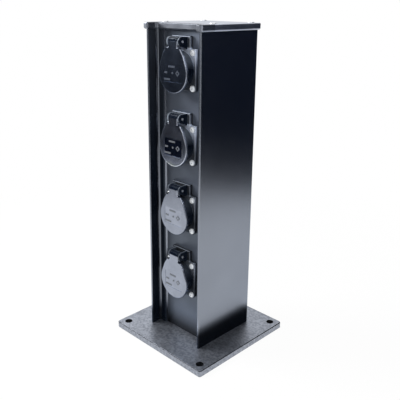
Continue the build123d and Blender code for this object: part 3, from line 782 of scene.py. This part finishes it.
SMALL_PIECES = {
    "zinc_screws": ["flange_screws"],
    "bright_steel": ["flange_nuts", "cap_screws", "base_screws", "bracket_screws", "block_screws",
                     "terminal_bracket", *each("hinge_pin"), *each("lid_spring")],
    "machined_brass": [*each("contacts"), *each("earth_clip"), "earth_stud", "earth_nut",
                       "terminal_screws"],
    "black_rubber": [*each("flange_gasket"), *each("lid_seal"), "cable_grommet"],
    "carrier_plastic": each("socket_insert"),
    "block_ivory": ["terminal_block"],
    "wire_brown": ["live_wires"],
    "wire_blue": ["neutral_wires"],
}
GRAINS_PER_CLOUD = 8


def make_small_finish(name, dark, light, metallic, rough, grain, strength):
    """A colour that wavers between two shades, over a grain of its own size."""
    material, shader = start_material(name, light, metallic, middle(rough))
    cloud = add_noise(material, grain / GRAINS_PER_CLOUD)
    link(material, add_shades(material, cloud, dark, light), shader.inputs["Base Color"])
    add_rough(material, shader, cloud, rough)
    add_grain(material, shader, grain, strength)
    return material


for name, pieces in SMALL_PIECES.items():
    dress(make_small_finish(name, *SMALL_FINISHES[name]), *pieces)

# %% [markdown]
# ## Earth wires
#
# Earth wires are green with a yellow stripe. An image of a stripe would have to be wrapped round
# each wire. The slanting bands of a wave texture give the stripe from object coordinates alone.

# %% Earth wires
EARTH_GREEN = (0.020, 0.20, 0.035)
EARTH_YELLOW = (0.75, 0.62, 0.04)
EARTH_ROUGH = 0.42
EARTH_GRAIN = (1500.0, 0.05)
STRIPE_SCALE = 70.0
STRIPE_WAVER = 0.4


def make_earth_finish():
    material, shader = start_material("wire_green_yellow", EARTH_GREEN, NO_METAL, EARTH_ROUGH)
    place = add_node(material, "ShaderNodeTexCoord")
    wave = add_node(material, "ShaderNodeTexWave", Scale=STRIPE_SCALE, Distortion=STRIPE_WAVER)
    wave.bands_direction = "DIAGONAL"
    link(material, place.outputs["Object"], wave.inputs["Vector"])
    link(material, add_shades(material, wave.outputs["Fac"], EARTH_GREEN, EARTH_YELLOW),
         shader.inputs["Base Color"])
    add_grain(material, shader, *EARTH_GRAIN)
    return material


dress(make_earth_finish(), "earth_wires", "bonding_lead")

# %% [markdown]
# ## The studio floor
#
# A glossy black product takes its shape from what it mirrors, so we build the room for its
# mirror images first. Near the post the floor is white. A floor that is only lit turns grey
# away from the lamps, so for the camera and for mirrors nearly all of it glows with a strength
# of 1, which is plain white. The glow is a touch weaker near the post, where the floor keeps a
# faint shadow, and stops beneath the plate. It sheds no light on the dull parts of the post.

# %% Floor
FLOOR_DROP = 0.0004
FLOOR_SIZE = 12.0
FLOOR_WHITE = (0.90, 0.90, 0.90)
FLOOR_GLOW = 0.96
NEAR_FLOOR = 0.25
FAR_FLOOR = 0.70
EDGE_BAND = 0.001
MATTE = 0.9
WHITE_STRENGTH = 1.0


def add_mirror_rays(material):
    """1 for the camera's own rays and for those that a mirror or glass sends on."""
    rays = add_node(material, "ShaderNodeLightPath").outputs
    sent = add_math(material, "MAXIMUM", rays["Is Glossy Ray"], rays["Is Transmission Ray"])
    return add_math(material, "MAXIMUM", rays["Is Camera Ray"], sent)


def make_floor_finish():
    material, shader = start_material("floor_white", FLOOR_WHITE, NO_METAL, MATTE)
    shader.inputs["Specular IOR Level"].default_value = 0.0
    glow = add_node(material, "ShaderNodeEmission", Strength=WHITE_STRENGTH)
    place = add_node(material, "ShaderNodeTexCoord")
    reach = add_node(material, "ShaderNodeVectorMath")
    reach.operation = "LENGTH"
    link(material, place.outputs["Object"], reach.inputs[0])
    far = add_span(material, reach.outputs["Value"], (NEAR_FLOOR, FAR_FLOOR), (FLOOR_GLOW, 1.0))
    # No glow beneath the plate, or it would rise through the anchor holes
    outside = (plate_half - EDGE_BAND, plate_half)
    beside = add_span(material, add_furthest(material), outside, WHOLE)
    share = add_product(material, far, beside, add_mirror_rays(material))
    blend = add_node(material, "ShaderNodeMixShader")
    link(material, share, blend.inputs["Fac"])
    link(material, shader.outputs["BSDF"], blend.inputs[1])
    link(material, glow.outputs["Emission"], blend.inputs[2])
    output = material.node_tree.nodes["Material Output"]
    link(material, blend.outputs["Shader"], output.inputs["Surface"])
    return material


def set_up(thing):
    """Puts a part of the studio into the scene."""
    bpy.context.scene.collection.objects.link(thing)


def make_floor():
    half = FLOOR_SIZE / 2
    corners = [(-half, -half), (half, -half), (half, half), (-half, half)]
    mesh = bpy.data.meshes.new("floor")
    mesh.from_pydata([(x, y, -FLOOR_DROP) for x, y in corners], [], [(0, 1, 2, 3)])
    mesh.materials.append(make_floor_finish())
    set_up(bpy.data.objects.new("floor", mesh))
    print("floor", FLOOR_SIZE, "m across")


make_floor()

# %% [markdown]
# ## Dark cards
#
# A stride away, in the two directions that the flat faces mirror, stand black cards: their edge
# on the floor is where the tall faces turn from grey to black. A third stands behind the camera.
# All else is bright, so that every rounded edge draws a light line. The cards are seen in
# reflections only, so they neither shade the post nor block the camera. A flat card would do for
# one spot; bent round the post, its edge stays at one distance for every angle.

# %% Dark cards that only reflections see
CARD_DARK = (0.009, 0.012, 0.022)
CARD_LIGHT = (0.013, 0.017, 0.030)
CARD_CLOUD = 2.0
CARD_HEIGHT = 0.9
CARD_STEPS = 24
# Middle and half of each card's angle, in degrees from +X to +Y, and its distance in metres
CARDS = {
    "card_of_sockets": (225.4, 30.0, 0.70),
    "card_of_side": (45.4, 45.0, 0.64),
    "card_behind_camera": (314.6, 24.0, 1.10),
}


def make_card_finish():
    material, shader = start_material("card_black", CARD_LIGHT, NO_METAL, MATTE)
    shader.inputs["Specular IOR Level"].default_value = 0.0
    link(material, add_shades(material, add_noise(material, CARD_CLOUD), CARD_DARK, CARD_LIGHT),
         shader.inputs["Base Color"])
    return material


def make_card(name, middle_angle, half_angle, radius, material):
    """A standing card bent round the post."""
    shape = bmesh.new()
    columns = []
    for step in range(CARD_STEPS + 1):
        angle = math.radians(middle_angle + half_angle * (2 * step / CARD_STEPS - 1))
        x, y = radius * math.cos(angle), radius * math.sin(angle)
        columns.append((shape.verts.new((x, y, 0.0)), shape.verts.new((x, y, CARD_HEIGHT))))
    for (low_a, high_a), (low_b, high_b) in zip(columns, columns[1:]):
        shape.faces.new((low_a, low_b, high_b, high_a))
    mesh = bpy.data.meshes.new(name)
    shape.to_mesh(mesh)
    shape.free()
    mesh.materials.append(material)
    card = bpy.data.objects.new(name, mesh)
    card.visible_camera = False
    card.visible_diffuse = False
    card.visible_shadow = False
    card.visible_transmission = False
    card.visible_volume_scatter = False
    set_up(card)
    print(name, "at", radius, "m")


card_finish = make_card_finish()
for name, places in CARDS.items():
    make_card(name, *places, card_finish)

# %% [markdown]
# ## World
#
# The world does two jobs. With the lamps it lights the post at a plain level, so that colours
# render about as they are written. And the camera, mirrors and glass see it pure white, like the
# floor, so no horizon shows. The same helper as for the floor tells those rays apart.

# %% World
WORLD_LIGHT = 0.55
WHITE = (1.0, 1.0, 1.0, 1.0)


def make_world():
    world = bpy.data.worlds.new("studio")
    world.use_nodes = True
    own = world.node_tree.nodes
    own["Background"].inputs["Color"].default_value = WHITE
    own["Background"].inputs["Strength"].default_value = WORLD_LIGHT
    white = add_node(world, "ShaderNodeBackground", Color=WHITE, Strength=WHITE_STRENGTH)
    blend = add_node(world, "ShaderNodeMixShader")
    link(world, add_mirror_rays(world), blend.inputs["Fac"])
    link(world, own["Background"].outputs["Background"], blend.inputs[1])
    link(world, white.outputs["Background"], blend.inputs[2])
    link(world, blend.outputs["Shader"], own["World Output"].inputs["Surface"])
    bpy.context.scene.world = world


make_world()
bpy.context.scene.view_settings.view_transform = "Standard"
print("world lights with a strength of", WORLD_LIGHT)

# %% [markdown]
# ## Lamps
#
# A large soft lamp stands high at the front left. It lights the painted panel most at its top
# and lets it fall off towards the foot, and draws bright lines on rounded edges. A weaker one
# from the right picks out the screws. Small lamps would draw harder lines and specks than the
# real post shows, so both are areas of about half a metre.

# %% Lamps
# Place, the point it shines at, size in metres and power in watts
LAMPS = {
    "key_lamp": ((-0.72, -0.52, 0.80), (0.0, -0.03, 0.30), 0.45, 14.0),
    "fill_lamp": ((0.9, -0.55, 0.9), (0.0, 0.0, 0.2), 0.6, 3.0),
}


def add_lamp(name, place, target, size, watts):
    data = bpy.data.lights.new(name, "AREA")
    data.size = size
    data.energy = watts
    lamp = bpy.data.objects.new(name, data)
    lamp.location = place
    aim = Vector(target) - Vector(place)
    lamp.rotation_euler = aim.to_track_quat("-Z", "Y").to_euler()
    bpy.context.scene.collection.objects.link(lamp)
    print(name, "at", place)


for name, settings in LAMPS.items():
    add_lamp(name, *settings)

# %% [markdown]
# ## Camera
#
# The viewpoint comes from a camera fit to the photograph: a little above the cap, seen from the
# front right corner. The lens is short, so the column narrows towards its foot. Placing it by
# eye would do for a picture of the post, but a fit also shows whether the model has the right
# proportions.

# %% Camera
FRAME_PX = 400.0
FOCAL_PX = 570.63
SENSOR_MM = 36.0
CAMERA_PLACE = (0.49804, -0.50605, 0.44107)
# Azimuth, elevation and roll in degrees
CAMERA_TURN = (44.63, 17.477, 0.535)
CAMERA_SHIFT = -0.05
CLIP_START = 0.02


def make_camera():
    azimuth, elevation, roll = (math.radians(angle) for angle in CAMERA_TURN)
    flat = math.cos(elevation)
    back = Vector((math.sin(azimuth) * flat, -math.cos(azimuth) * flat, math.sin(elevation)))
    data = bpy.data.cameras.new("photo_camera")
    data.sensor_width = SENSOR_MM
    data.lens = FOCAL_PX / FRAME_PX * SENSOR_MM
    data.shift_y = CAMERA_SHIFT
    data.clip_start = CLIP_START
    camera = bpy.data.objects.new("photo_camera", data)
    camera.location = CAMERA_PLACE
    camera.rotation_mode = "QUATERNION"
    camera.rotation_quaternion = back.to_track_quat("Z", "Y") @ Quaternion((0, 0, 1), roll)
    bpy.context.scene.collection.objects.link(camera)
    bpy.context.scene.camera = camera
    print("lens", round(data.lens, 1), "mm")


make_camera()
